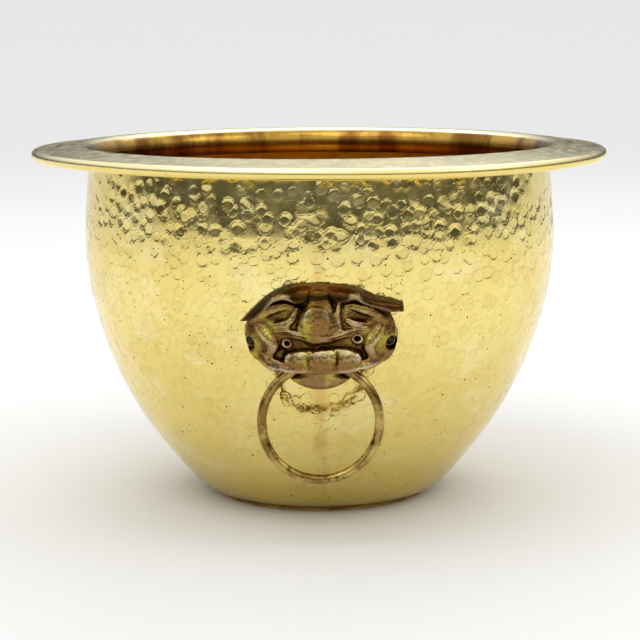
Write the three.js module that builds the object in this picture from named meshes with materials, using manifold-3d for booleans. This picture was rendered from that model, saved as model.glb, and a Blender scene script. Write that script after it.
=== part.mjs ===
// A hammered brass planter pot with a broad rolled flange and two lion-mask ring handles.
// Millimetres, +Z up. The origin is the centre of the underside, the front handle is on -Y.
import * as THREE from "three";
import { mergeVertices } from "three/addons/utils/BufferGeometryUtils.js";
import Module from "manifold-3d";

const HEIGHT = 222;
const FLANGE_RADIUS = 180;
const SHEET = 1.2;
const GAP = 0.3;
const AROUND = 60;
const BODY_STEPS = 12;

// The mouth: the flange bends over a crest circle and runs down to its rolled edge.
const CREST_RADIUS = 152;
const MOUTH_BEND = 10;
const COLLAR_DEPTH = 17;
const ROLL_RADIUS = 3.2;
const ROLL_TURN = THREE.MathUtils.degToRad(275);
const ROLL_DROP = 6.3;

// The foot: the wall turns in over the base disc, whose middle is stepped up inside the foot.
const BASE_RADIUS = 69;
const FOOT_RADIUS = 58;
const FLOOR_RADIUS = 56.5;
const FLOOR_Z = 2.1;

// The ring handles and the masks that hold them.
const RING_RADIUS = 33.3;
const WIRE_RADIUS = 2.95;
const PIVOT_OUT = 148;
const PIVOT_Z = 106.6;
const SWING_IN = THREE.MathUtils.degToRad(-28);
const SWING_OUT = THREE.MathUtils.degToRad(58);
const RIVET_SIDE = 38;
const RIVET_Z = 120;
const RIVET_SHANK = 1.5;
const CHEEK_LAND = 3;
const RIVET_POCKET = 4;
const CHIN_RADIUS = 26;
const CHIN_Z = 91.4;
const CHIN_OUT = 149;
const WEB_WIDTH = 24;
const SLOT_WIDTH = 57;
// How far the wall's flat faces lie inside its true curve.
const FACET_SAG = 0.5;

const BRASS = { color: 0xc9a23f, roughness: 0.28, metalness: 1 };
const POLISHED_BRASS = { color: 0xd9c27a, roughness: 0.16, metalness: 1 };
const AGED_BRASS = { color: 0x7d5a2a, roughness: 0.4, metalness: 1 };
const BRONZE = { color: 0x5e3d22, roughness: 0.42, metalness: 1 };
const DARK_IRON = { color: 0x2c2822, roughness: 0.5, metalness: 1 };

const wasm = await Module();
wasm.setup();

const crestZ = HEIGHT - MOUTH_BEND;
const rollOut = FLANGE_RADIUS - ROLL_RADIUS;
const rollZ = HEIGHT - ROLL_DROP;
const collarRadius = CREST_RADIUS - MOUTH_BEND;
const neckBend = MOUTH_BEND - 2 * SHEET - GAP;
const footZ = SHEET + GAP;
const burrTop = -SHEET - GAP - FACET_SAG;

const point = (out, z) => new THREE.Vector2(out, z);

// The outer face of the wall from the foot to the neck, in (distance from the axis, height).
const bodyCurve = new THREE.SplineCurve([
  point(BASE_RADIUS, footZ),
  point(75.5, 4.6),
  point(84, 12),
  point(100.5, 32),
  point(114.7, 52),
  point(125.5, 72),
  point(133.9, 92),
  point(140.2, 112),
  point(144.9, 132),
  point(147.5, 155),
  point(147.8, 172),
  point(146.4, 192),
  point(CREST_RADIUS - neckBend, crestZ),
]);

function arc(out, z, radius, from, to) {
  return new THREE.EllipseCurve(out, z, radius, radius, from, to, to < from);
}

// The closed profile of a sheet whose face follows the curves and whose body lies beside it:
// to the left of the way the curves run where thickness is positive, to the right where negative.
function sheetProfile(curves, thickness) {
  const face = [];
  const back = [];
  curves.forEach(([curve, steps], index) => {
    for (let step = index ? 1 : 0; step <= steps; step += 1) {
      const at = curve.getPoint(step / steps);
      const along = curve.getTangent(step / steps);
      face.push(at);
      back.push(point(at.x - along.y * thickness, at.y + along.x * thickness));
    }
  });
  const outline = [...face, ...back.reverse()];
  return [...outline, outline[0].clone()];
}

function turned(profile, segments = AROUND) {
  const outline = THREE.ShapeUtils.area(profile) < 0 ? [...profile].reverse() : profile;
  return new THREE.LatheGeometry(outline, segments).rotateX(Math.PI / 2);
}

function toSolid(geometry) {
  const bare = geometry.index ? geometry.toNonIndexed() : geometry.clone();
  bare.deleteAttribute("normal");
  bare.deleteAttribute("uv");
  const merged = mergeVertices(bare, 1e-3);
  return new wasm.Manifold(
    new wasm.Mesh({
      numProp: 3,
      vertProperties: merged.attributes.position.array,
      triVerts: new Uint32Array(merged.index.array),
    }),
  );
}

function toGeometry(solid) {
  const mesh = solid.getMesh();
  const geometry = new THREE.BufferGeometry();
  geometry.setAttribute("position", new THREE.BufferAttribute(mesh.vertProperties, mesh.numProp));
  geometry.setIndex(new THREE.BufferAttribute(mesh.triVerts, 1));
  geometry.computeVertexNormals();
  return geometry;
}

function joined(geometries) {
  return geometries.map(toSolid).reduce((whole, piece) => whole.add(piece));
}

function named(name, geometry, finish) {
  const mesh = new THREE.Mesh(geometry, new THREE.MeshStandardMaterial(finish));
  mesh.name = name;
  return mesh;
}

// The wall's outer face at a height, searched along the body curve.
function wallAt(z) {
  let low = 0;
  let high = 1;
  while (high - low > 1e-5) {
    const middle = (low + high) / 2;
    if (bodyCurve.getPoint(middle).y < z) low = middle;
    else high = middle;
  }
  return { out: bodyCurve.getPoint(low).x, slope: bodyCurve.getTangent(low) };
}

// Where a rivet stands, on the front of the wall: local +Z is the outward normal.
function rivetPlace(side) {
  const { out, slope } = wallAt(RIVET_Z);
  const turn = Math.asin((side * RIVET_SIDE) / out);
  const tilt = Math.atan2(slope.x, slope.y);
  return new THREE.Matrix4()
    .makeRotationZ(turn)
    .multiply(new THREE.Matrix4().makeTranslation(0, -out, RIVET_Z))
    .multiply(new THREE.Matrix4().makeRotationX(Math.PI / 2 + tilt));
}

function rivetHole(side, radius, from, to) {
  const hole = new THREE.CylinderGeometry(radius, radius, to - from, 16);
  hole.rotateX(Math.PI / 2).translate(0, 0, (from + to) / 2);
  return toSolid(hole.applyMatrix4(rivetPlace(side)));
}

function potWall() {
  const curves = [
    [new THREE.LineCurve(point(FOOT_RADIUS, footZ), point(BASE_RADIUS, footZ)), 1],
    [bodyCurve, BODY_STEPS],
    [arc(CREST_RADIUS, crestZ, neckBend, Math.PI, (2 / 3) * Math.PI), 3],
  ];
  let wall = toSolid(turned(sheetProfile(curves, SHEET)));
  for (const turn of [0, Math.PI])
    for (const side of [-1, 1]) {
      const hole = rivetHole(side, RIVET_SHANK + GAP, -8, 4);
      wall = wall.subtract(hole.rotate([0, 0, THREE.MathUtils.radToDeg(turn)]));
    }
  return toGeometry(wall);
}

// The flange's shown face: up the collar, over the crest, down the slope and round the roll.
function rimFlange() {
  const reach = Math.hypot(rollOut - CREST_RADIUS, rollZ - crestZ);
  const rise = Math.atan2(rollZ - crestZ, rollOut - CREST_RADIUS);
  const slope = rise - Math.asin((MOUTH_BEND - ROLL_RADIUS) / reach);
  const normal = Math.PI / 2 + slope;
  const bend = arc(CREST_RADIUS, crestZ, MOUTH_BEND, Math.PI, normal);
  const roll = arc(rollOut, rollZ, ROLL_RADIUS, normal, normal - ROLL_TURN);
  const collarFoot = point(collarRadius, HEIGHT - COLLAR_DEPTH);
  const curves = [
    [new THREE.LineCurve(collarFoot, bend.getPoint(0)), 1],
    [bend, 5],
    [new THREE.LineCurve(bend.getPoint(1), roll.getPoint(0)), 1],
    [roll, 8],
  ];
  return turned(sheetProfile(curves, -SHEET));
}

function rimWire() {
  const radius = ROLL_RADIUS - SHEET - GAP;
  const wire = new THREE.TorusGeometry(rollOut, radius, 6, AROUND);
  return wire.translate(0, 0, rollZ);
}

function baseDisc() {
  const half = SHEET / 2;
  const edge = arc(BASE_RADIUS - half, half, half, -Math.PI / 2, Math.PI / 2);
  const floor = [point(FLOOR_RADIUS, SHEET), point(FLOOR_RADIUS, FLOOR_Z), point(0, FLOOR_Z)];
  return turned([point(0, 0), ...edge.getPoints(4), ...floor]);
}

function blob(x, out, z, rx, ry, rz, segments = 12) {
  const ball = new THREE.SphereGeometry(1, segments, (2 * segments) / 3);
  return ball.scale(rx, ry, rz).translate(x, -out, z);
}

function rod(points, radius, steps) {
  const path = new THREE.CatmullRomCurve3(points.map(([x, out, z]) => new THREE.Vector3(x, -out, z)));
  const section = new THREE.Shape().absarc(0, 0, radius, 0, 2 * Math.PI);
  return new THREE.ExtrudeGeometry(section, { extrudePath: path, steps, curveSegments: 4 });
}

function pushed(shape, depth, curveSegments) {
  return new THREE.ExtrudeGeometry(shape, { depth, bevelEnabled: false, curveSegments });
}

// The space the ring sweeps between its limits, as a wedge across the mask below its pivot.
function swingSlot() {
  const room = WIRE_RADIUS + 2 * GAP;
  const reach = 45;
  const edge = (angle, side) =>
    point(
      PIVOT_OUT + side * room * Math.cos(angle) + reach * Math.sin(angle),
      PIVOT_Z + side * room * Math.sin(angle) - reach * Math.cos(angle),
    );
  const shape = new THREE.Shape();
  shape.absarc(PIVOT_OUT, PIVOT_Z, room, SWING_OUT, Math.PI + SWING_IN);
  shape.lineTo(...edge(SWING_IN, -1).toArray());
  shape.lineTo(...edge(SWING_OUT, 1).toArray());
  // The shape's x is the distance out and its y is the height, and it is pushed along X.
  const wedge = pushed(shape, SLOT_WIDTH, 6).rotateX(Math.PI / 2).rotateZ(-Math.PI / 2);
  return toSolid(wedge.translate(SLOT_WIDTH / 2, 0, 0));
}

// The lower jaw the ring hangs on: a lens between the ring's own circle and a rounded chin.
function chin() {
  const ringZ = PIVOT_Z - RING_RADIUS;
  const saddle = RING_RADIUS - WIRE_RADIUS - GAP;
  const midZ = CHIN_Z + CHIN_RADIUS;
  const cornerZ = (saddle ** 2 - CHIN_RADIUS ** 2 + midZ ** 2 - ringZ ** 2) / (2 * (midZ - ringZ));
  const over = Math.acos((cornerZ - ringZ) / saddle);
  const under = Math.acos((midZ - cornerZ) / CHIN_RADIUS);
  const lens = new THREE.Shape();
  lens.absarc(0, ringZ, saddle, Math.PI / 2 - over, Math.PI / 2 + over);
  lens.absarc(0, midZ, CHIN_RADIUS, -Math.PI / 2 - under, -Math.PI / 2 + under);
  const depth = 19;
  return pushed(lens, depth, 10).rotateX(Math.PI / 2).translate(0, depth - CHIN_OUT, 0);
}

// The front mask, a hollow casting that lies on the wall and is open below for the ring.
function lionMask() {
  const face = joined([
    blob(0, 136, 124, 42, 26, 30, 21),
    blob(0, 156, 132, 11, 9, 11),
    blob(0, 156, 111, 17, 7, 6),
    ...[-1, 1].map((side) => blob(side * 24, 147, 116, 11, 10, 13)),
    ...[-1, 1].map((side) => blob(side * 18, 157, 120.5, 4, 4, 4)),
    rod([[-44, 143, 130], [-30, 148, 143], [0, 151, 149], [30, 148, 144], [47, 142, 138]], 3.6, 14),
    rod([[-26, 153, 127], [0, 162, 125], [26, 153, 128]], 2, 8),
  ]);
  const hollow = toSolid(blob(0, 134, 120, 34, 23, 23, 18));
  const mouth = toSolid(blob(0, 165, 120, 11, 7, 2.6));
  const below = new THREE.BoxGeometry(120, 60, 40).translate(0, 0, -20).rotateX(-0.25);
  const lip = toSolid(below.translate(0, -161, 104));
  const web = new THREE.BoxGeometry(WEB_WIDTH, 13, 20).translate(0, -136.5, 106);
  const root = new THREE.BoxGeometry(WEB_WIDTH, 20, 36).translate(0, -142, 130);
  const clear = sheetProfile([[bodyCurve, BODY_STEPS]], -GAP).slice(BODY_STEPS + 1, -1);
  const wall = toSolid(turned([point(0, 0), ...clear.reverse(), point(0, crestZ)]));
  let mask = face.subtract(lip).subtract(hollow).subtract(mouth).subtract(swingSlot());
  mask = mask.add(toSolid(root)).add(toSolid(web)).add(toSolid(chin()));
  for (const side of [-1, 1]) {
    mask = mask.subtract(rivetHole(side, RIVET_POCKET, CHEEK_LAND + GAP, 30));
    mask = mask.subtract(rivetHole(side, RIVET_SHANK + GAP, -8, 8));
  }
  return toGeometry(mask.subtract(wall));
}

function ringHandle() {
  const ring = new THREE.TorusGeometry(RING_RADIUS, WIRE_RADIUS, 8, 36);
  return ring.rotateX(Math.PI / 2).translate(0, -PIVOT_OUT, PIVOT_Z - RING_RADIUS);
}

// A rivet from its outer dome to its hammered tail. z is measured from the wall's outer face.
function rivet() {
  const seat = CHEEK_LAND + 2 * GAP;
  const tail = burrTop - SHEET - GAP;
  return turned(
    [
      point(0, tail - 1.3),
      point(1.8, tail - 1.1),
      point(2.5, tail - 0.4),
      point(2.5, tail),
      point(RIVET_SHANK, tail),
      point(RIVET_SHANK, seat),
      point(2.9, seat),
      point(2.7, seat + 0.9),
      point(1.6, seat + 1.6),
      point(0, seat + 1.8),
    ],
    14,
  );
}

// The washer under a rivet's tail, on the inside of the wall.
function burr() {
  const hole = RIVET_SHANK + GAP;
  const edge = 4.4;
  const outline = [
    point(hole, burrTop - SHEET),
    point(edge, burrTop - SHEET),
    point(edge, burrTop),
    point(hole, burrTop),
  ];
  return turned([...outline, outline[0].clone()], 14);
}

const pot = new THREE.Group();
pot.add(named("pot_wall", potWall(), BRASS));
pot.add(named("base_disc", baseDisc(), BRASS));
pot.add(named("rim_flange", rimFlange(), POLISHED_BRASS));
pot.add(named("rim_wire", rimWire(), AGED_BRASS));

for (const [end, turn] of [["front", 0], ["back", Math.PI]]) {
  const handle = new THREE.Group();
  handle.rotation.z = turn;
  handle.add(named(`lion_mask_${end}`, lionMask(), BRONZE));
  handle.add(named(`ring_handle_${end}`, ringHandle(), AGED_BRASS));
  for (const [hand, side] of [["left", -1], ["right", 1]]) {
    const fixing = new THREE.Group();
    fixing.applyMatrix4(rivetPlace(side));
    fixing.add(named(`rivet_${end}_${hand}`, rivet(), DARK_IRON));
    fixing.add(named(`burr_${end}_${hand}`, burr(), AGED_BRASS));
    handle.add(fixing);
  }
  pot.add(handle);
}

export default pot;
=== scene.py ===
"""The looks of the hammered brass planter pot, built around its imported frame.

Lengths named in millimetres are turned into metres when a mesh is made. "Out" is the distance
from the pot's axis towards the front, which is -Y. The back handle is the front one turned round.
"""
import math

import bpy
import numpy as np
from mathutils import Matrix, Vector


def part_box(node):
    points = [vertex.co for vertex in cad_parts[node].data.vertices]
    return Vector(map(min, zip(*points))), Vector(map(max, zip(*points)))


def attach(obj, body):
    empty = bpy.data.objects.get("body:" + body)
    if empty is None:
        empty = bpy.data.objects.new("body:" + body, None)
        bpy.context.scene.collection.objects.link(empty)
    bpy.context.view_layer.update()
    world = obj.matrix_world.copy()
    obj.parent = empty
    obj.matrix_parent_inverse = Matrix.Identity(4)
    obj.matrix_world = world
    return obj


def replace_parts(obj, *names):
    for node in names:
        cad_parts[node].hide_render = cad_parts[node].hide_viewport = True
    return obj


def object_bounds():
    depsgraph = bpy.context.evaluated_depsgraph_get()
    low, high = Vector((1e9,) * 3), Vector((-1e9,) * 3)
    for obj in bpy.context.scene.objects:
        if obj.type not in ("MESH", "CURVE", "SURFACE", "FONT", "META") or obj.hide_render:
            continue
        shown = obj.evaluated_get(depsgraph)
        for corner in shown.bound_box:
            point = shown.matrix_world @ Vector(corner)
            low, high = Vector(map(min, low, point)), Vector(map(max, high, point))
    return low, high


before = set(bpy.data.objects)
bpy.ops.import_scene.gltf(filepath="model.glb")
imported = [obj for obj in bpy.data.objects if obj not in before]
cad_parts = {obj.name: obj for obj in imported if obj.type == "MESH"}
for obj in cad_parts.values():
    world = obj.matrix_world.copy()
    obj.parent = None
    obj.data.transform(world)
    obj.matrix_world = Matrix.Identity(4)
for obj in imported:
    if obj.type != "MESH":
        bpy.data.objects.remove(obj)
CAD_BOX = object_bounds()

MM = 0.001
ENDS = {"front": 0.0, "back": math.pi}
HANDS = ("left", "right")
SEED = 61

# Driving sizes in millimetres, the same as the frame's own.
SHEET = 1.2
GAP = 0.3
CREST_RADIUS = 152
MOUTH_BEND = 10
COLLAR_DEPTH = 17
ROLL_RADIUS = 3.2
ROLL_DROP = 6.3
ROLL_TURN = math.radians(275)
RING_RADIUS = 33.3
WIRE_RADIUS = 2.95
PIVOT_OUT = 148
PIVOT_Z = 106.6
SWING_IN = math.radians(-28)
SWING_OUT = math.radians(58)
MASK_GROUND = 143
CHIN_RADIUS = 26
CHIN_Z = 91.4
CHIN_OUT = 149
WEB_WIDTH = 24
RIVET_Z = 120
RIVET_SHANK = 1.5
RIVET_HEAD = 2.95
RIVET_TAIL = 2.4
WASHER_RADIUS = 4.4
RIVET_POCKET = 4
FLOOR_RADIUS = 56.5
FACET_SAG = 0.5
CHEEK_LAND = 3

TOP_Z = CAD_BOX[1][2] / MM
FLANGE_RADIUS = CAD_BOX[1][0] / MM

# The hammer's marks.
MARK_RADIUS = 3.5
MARK_ROW = 7.6
MARK_ALONG = 8.3
AROUND_STEPS = 912
WALL_ROW = 1.05


# ---------------------------------------------------------------- meshes

def make_piece(name, points, faces, body, materials, face_material=None, smooth=True):
    """A named mesh from points in millimetres, riding on a body."""
    mesh = bpy.data.meshes.new(name)
    mesh.from_pydata((np.asarray(points) * MM).tolist(), [], faces)
    mesh.validate()
    for material in materials:
        mesh.materials.append(material)
    if face_material is not None:
        mesh.polygons.foreach_set("material_index", np.asarray(face_material, np.int32))
    mesh.polygons.foreach_set("use_smooth", np.full(len(mesh.polygons), smooth))
    mesh.update()
    piece = bpy.data.objects.new(name, mesh)
    bpy.context.scene.collection.objects.link(piece)
    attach(piece, body)
    return piece


def add_values(piece, name, values):
    """A number for each vertex, which a material can read."""
    attribute = piece.data.attributes.new(name, "FLOAT", "POINT")
    attribute.data.foreach_set("value", np.asarray(values, np.float32))


def spline_through(points, spacing):
    """Points about a spacing apart on a smooth curve through the given ones."""
    points = np.asarray(points, float)
    ends = np.vstack([2 * points[0] - points[1], points, 2 * points[-1] - points[-2]])
    made = []
    for before, start, end, after in zip(ends, ends[1:], ends[2:], ends[3:]):
        steps = max(1, round(np.linalg.norm(end - start) / spacing))
        t = np.arange(steps)[:, None] / steps
        made.append(0.5 * (2 * start + (end - before) * t
                           + (2 * before - 5 * start + 4 * end - after) * t**2
                           + (3 * start - before - 3 * end + after) * t**3))
    return np.vstack([*made, points[-1:]])


def arc(out, z, radius, start, end, steps):
    angles = np.linspace(start, end, steps + 1)
    return np.column_stack([out + radius * np.cos(angles), z + radius * np.sin(angles)])


def side_normals(profile):
    """The unit normal to the right of the way a profile runs."""
    along = np.gradient(profile, axis=0)
    along /= np.linalg.norm(along, axis=1)[:, None]
    return np.column_stack([along[:, 1], -along[:, 0]])


def turned(profile, steps, closed=True):
    """Points and quads of a closed profile turned round the axis."""
    angles = np.arange(steps) * 2 * math.pi / steps
    out, z = profile[:, 0:1], profile[:, 1:2]
    x, y = out * np.sin(angles), -out * np.cos(angles)
    points = np.stack([x, y, np.broadcast_to(z, x.shape)], axis=2).reshape(-1, 3)
    return points, grid_quads(len(profile), steps, closed)


def grid_quads(rows, columns, rows_close=False):
    """Quads of a grid whose columns close on themselves."""
    row = np.arange(rows if rows_close else rows - 1)[:, None]
    column = np.arange(columns)[None, :]
    after_row, after = (row + 1) % rows, (column + 1) % columns
    corners = [row * columns + column, row * columns + after,
               after_row * columns + after, after_row * columns + column]
    return np.stack(corners, axis=2).reshape(-1, 4).tolist()


def surface_nets(field, origin, step):
    """Points and quads on the zero level of a sampled field that is negative inside."""
    inside = field < 0
    shape = np.array(field.shape) - 1
    corner_count = np.zeros(shape, np.int8)
    for i in (0, 1):
        for j in (0, 1):
            for k in (0, 1):
                corner_count += inside[i:shape[0] + i, j:shape[1] + j, k:shape[2] + k]
    mixed = (corner_count > 0) & (corner_count < 8)
    cells = np.argwhere(mixed)
    index = np.full(shape, -1)
    index[mixed] = np.arange(len(cells))
    total, count = np.zeros((len(cells), 3)), np.zeros(len(cells))
    for axis in range(3):
        across = [a for a in range(3) if a != axis]
        for i in (0, 1):
            for j in (0, 1):
                low = cells.copy()
                low[:, across[0]] += i
                low[:, across[1]] += j
                high = low.copy()
                high[:, axis] += 1
                a, b = field[tuple(low.T)], field[tuple(high.T)]
                crossed = (a < 0) != (b < 0)
                place = low.astype(float)
                place[crossed, axis] += (a / np.where(crossed, a - b, 1))[crossed]
                total[crossed] += place[crossed]
                count += crossed
    points = np.asarray(origin) + step * total / count[:, None]
    quads = []
    for axis in range(3):
        u, v = (axis + 1) % 3, (axis + 2) % 3
        lower = np.take(inside, range(field.shape[axis] - 1), axis)
        upper = np.take(inside, range(1, field.shape[axis]), axis)
        edges = np.argwhere(lower != upper)
        starts_inside = lower[tuple(edges.T)]
        around = []
        for du, dv in ((1, 1), (0, 1), (0, 0), (1, 0)):
            cell = edges.copy()
            cell[:, u] -= du
            cell[:, v] -= dv
            around.append(index[tuple(cell.T)])
        quad = np.column_stack(around)
        quads.append(np.where(starts_inside[:, None], quad, quad[:, ::-1]))
    return points, np.vstack(quads)


def relaxed(points, quads, rounds, amount=0.5):
    """Points moved towards the mean of their neighbours, which takes the steps out."""
    first = quads.ravel()
    second = np.roll(quads, -1, axis=1).ravel()
    degree = np.bincount(first, minlength=len(points)) + np.bincount(second, minlength=len(points))
    for _ in range(rounds):
        mean = np.zeros_like(points)
        for axis in range(3):
            mean[:, axis] = (np.bincount(first, points[second, axis], len(points))
                             + np.bincount(second, points[first, axis], len(points)))
        points = points + amount * (mean / degree[:, None] - points)
    return points


# ---------------------------------------------------------------- shading helpers

class Shading:
    """Short names for building one node material."""

    def __init__(self, name):
        self.material = bpy.data.materials.new(name)
        self.material.use_nodes = True
        self.nodes = self.material.node_tree.nodes
        self.links = self.material.node_tree.links
        self.shader = self.nodes["Principled BSDF"]
        self.shader.inputs["Metallic"].default_value = 1.0
        self.place = self.add("ShaderNodeTexCoord").outputs["Object"]

    def add(self, kind, **values):
        node = self.nodes.new(kind)
        for name, value in values.items():
            setattr(node, name, value)
        return node

    def feed(self, socket, value):
        if isinstance(value, bpy.types.NodeSocket):
            self.links.new(value, socket)
        elif isinstance(value, tuple) and len(value) == 3 and socket.type == "RGBA":
            socket.default_value = (*value, 1)
        else:
            socket.default_value = value

    def noise(self, scale, detail=3.0, stretch=None, roughness=0.55, place=None):
        node = self.add("ShaderNodeTexNoise")
        where = place or self.place
        self.links.new(self.stretched(where, stretch) if stretch else where, node.inputs["Vector"])
        node.inputs["Scale"].default_value = scale
        node.inputs["Detail"].default_value = detail
        node.inputs["Roughness"].default_value = roughness
        return node.outputs["Fac"]

    def stretched(self, place, scale, turn=(0, 0, 0)):
        node = self.add("ShaderNodeMapping")
        self.links.new(place, node.inputs["Vector"])
        node.inputs["Scale"].default_value = scale
        node.inputs["Rotation"].default_value = turn
        return node.outputs["Vector"]

    def cells(self, scale):
        node = self.add("ShaderNodeTexVoronoi")
        self.links.new(self.place, node.inputs["Vector"])
        node.inputs["Scale"].default_value = scale
        return node

    def math(self, operation, a, b=0.0, clamp=False):
        node = self.add("ShaderNodeMath", operation=operation, use_clamp=clamp)
        self.feed(node.inputs[0], a)
        self.feed(node.inputs[1], b)
        return node.outputs[0]

    def ramp(self, value, low, high, out_low=0.0, out_high=1.0):
        """A smooth change from out_low at low to out_high at high."""
        node = self.add("ShaderNodeMapRange", interpolation_type="SMOOTHSTEP")
        for name, number in (("Value", value), ("From Min", low), ("From Max", high),
                             ("To Min", out_low), ("To Max", out_high)):
            self.feed(node.inputs[name], number)
        return node.outputs[0]

    def mix(self, share, a, b):
        node = self.add("ShaderNodeMix", data_type="RGBA")
        self.feed(node.inputs[0], share)
        self.feed(node.inputs[6], a)
        self.feed(node.inputs[7], b)
        return node.outputs[2]

    def value_of(self, attribute):
        return self.add("ShaderNodeAttribute", attribute_name=attribute).outputs["Fac"]

    def axis(self, name):
        node = self.add("ShaderNodeSeparateXYZ")
        self.links.new(self.place, node.inputs[0])
        return node.outputs[name]

    def bump(self, height, distance, strength=1.0):
        """Raises the surface by height, as a share of a distance in metres."""
        node = self.add("ShaderNodeBump")
        node.inputs["Strength"].default_value = strength
        node.inputs["Distance"].default_value = distance
        self.feed(node.inputs["Height"], height)
        return node.outputs["Normal"]

    def finish(self, colour, roughness, normal=None):
        self.feed(self.shader.inputs["Base Color"], colour)
        self.feed(self.shader.inputs["Roughness"], roughness)
        if normal is not None:
            self.feed(self.shader.inputs["Normal"], normal)
        return self.material


# ---------------------------------------------------------------- materials

BRASS = (0.90, 0.74, 0.26)
PALE_BRASS = (0.93, 0.83, 0.47)
TARNISH = (0.42, 0.27, 0.06)
PIT = (0.07, 0.035, 0.01)


def hammered_brass():
    """Polished brass with hammer marks, pits, scratches and a brazed seam at the front, with painted shade
    along the marks' rims and towards the foot.
    """
    s = Shading("hammered_brass")
    clouds = s.ramp(s.noise(14, 5), 0.42, 0.72)
    stains = s.ramp(s.noise(60, 6, roughness=0.7), 0.60, 0.74)
    pits = s.cells(330)
    pit_here = s.ramp(s.noise(45, 2), 0.50, 0.62)
    pit = s.math("MULTIPLY", s.ramp(pits.outputs["Distance"], 0.09, 0.16, 1, 0), pit_here)
    specks = s.cells(120)
    speck = s.ramp(specks.outputs["Distance"], 0.05, 0.085, 1, 0)
    rim, depth, tone = s.value_of("rim"), s.value_of("mark"), s.value_of("tone")
    edge = s.math("MULTIPLY", s.ramp(s.math("ABSOLUTE", rim), 0.15, 0.75, 1, 0), depth)
    colour = s.mix(s.math("MULTIPLY", clouds, 0.45), BRASS, (0.78, 0.58, 0.15))
    smears = s.ramp(s.noise(26, 5, stretch=(1, 1, 1.6), roughness=0.65), 0.50, 0.66)
    colour = s.mix(s.math("MULTIPLY", smears, 0.40), colour, (0.95, 0.87, 0.48))
    colour = s.mix(s.math("MULTIPLY", s.ramp(tone, 0.40, 1.0), 0.16), colour, (0.52, 0.38, 0.085))
    colour = s.mix(s.math("MULTIPLY", stains, 0.40), colour, TARNISH)
    # Painted shade: a dark line along each mark's rim, stronger on the deeper marks of the upper wall.
    outline = s.math("MULTIPLY", edge, 0.22)
    colour = s.mix(outline, colour, (0.38, 0.26, 0.055))
    # Towards the foot the colour is duller: partly tarnish, partly painted shade for the shadowed floor that
    # the foot mirrors. A faint stripe down the seam is duller too.
    foot = s.ramp(s.axis("Z"), 0.006, 0.050, 1, 0)
    colour = s.mix(s.math("MULTIPLY", foot, 0.60), colour, (0.56, 0.41, 0.075))
    seam = s.math("MULTIPLY", s.ramp(s.math("ABSOLUTE", s.axis("X")), 0.0015, 0.0065, 1, 0),
                  s.ramp(s.axis("Y"), -0.02, 0.0, 1, 0))
    seam_cloud = s.ramp(s.noise(90, 4, stretch=(1, 1, 0.25)), 0.36, 0.66)
    seam = s.math("MULTIPLY", seam, s.math("MULTIPLY", seam_cloud, 0.5))
    colour = s.mix(seam, colour, (0.60, 0.33, 0.07))
    dirt = s.math("MAXIMUM", pit, speck)
    colour = s.mix(dirt, colour, PIT)
    scratch = s.ramp(s.noise(40, 2, stretch=(1, 1, 14)), 0.64, 0.68)
    rough = s.ramp(s.noise(120, 3), 0.3, 0.7, 0.07, 0.17)
    rough = s.math("ADD", rough, s.math("MULTIPLY", stains, 0.18))
    rough = s.math("ADD", rough, s.math("MULTIPLY", dirt, 0.4), clamp=True)
    rough = s.math("ADD", rough, s.math("MULTIPLY", scratch, 0.05))
    ridge = s.math("MULTIPLY", s.ramp(s.math("ABSOLUTE", rim), 0.05, 0.65, 1, 0), depth)
    height = s.math("MULTIPLY", ridge, 0.8)
    height = s.math("ADD", height, s.math("MULTIPLY", s.noise(300, 3), 0.10))
    height = s.math("ADD", height, s.math("MULTIPLY", s.noise(70, 2), 0.9))
    wiped = s.cells(60)
    slanted = s.stretched(s.place, (1, 1, 1), (0.6, 0.7, 0))
    fine = s.ramp(s.noise(340, 2, stretch=(1, 1, 0.12), place=slanted), 0.62, 0.66)
    fine = s.math("MULTIPLY", fine, s.ramp(wiped.outputs["Distance"], 0.2, 0.4, 1, 0))
    height = s.math("SUBTRACT", height, s.math("MULTIPLY", fine, 0.25))
    height = s.math("SUBTRACT", height, s.math("MULTIPLY", dirt, 0.5))
    return s.finish(colour, rough, s.bump(height, 0.0001))


def inside_brass():
    """The unpolished inside: brown and orange streaks running down."""
    s = Shading("inside_brass")
    streaks = s.ramp(s.noise(45, 4, stretch=(1, 1, 0.18)), 0.35, 0.68)
    clouds = s.ramp(s.noise(18, 5), 0.38, 0.66)
    spots = s.ramp(s.noise(160, 4), 0.60, 0.70)
    colour = s.mix(streaks, (0.66, 0.38, 0.045), (0.84, 0.58, 0.12))
    colour = s.mix(s.math("MULTIPLY", clouds, 0.7), colour, (0.34, 0.14, 0.015))
    colour = s.mix(s.math("MULTIPLY", spots, 0.6), colour, (0.08, 0.03, 0.008))
    rough = s.ramp(clouds, 0, 1, 0.22, 0.42)
    height = s.math("ADD", s.noise(220, 4), s.math("MULTIPLY", s.noise(50, 2), 2))
    return s.finish(colour, rough, s.bump(height, 0.0001))


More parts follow.
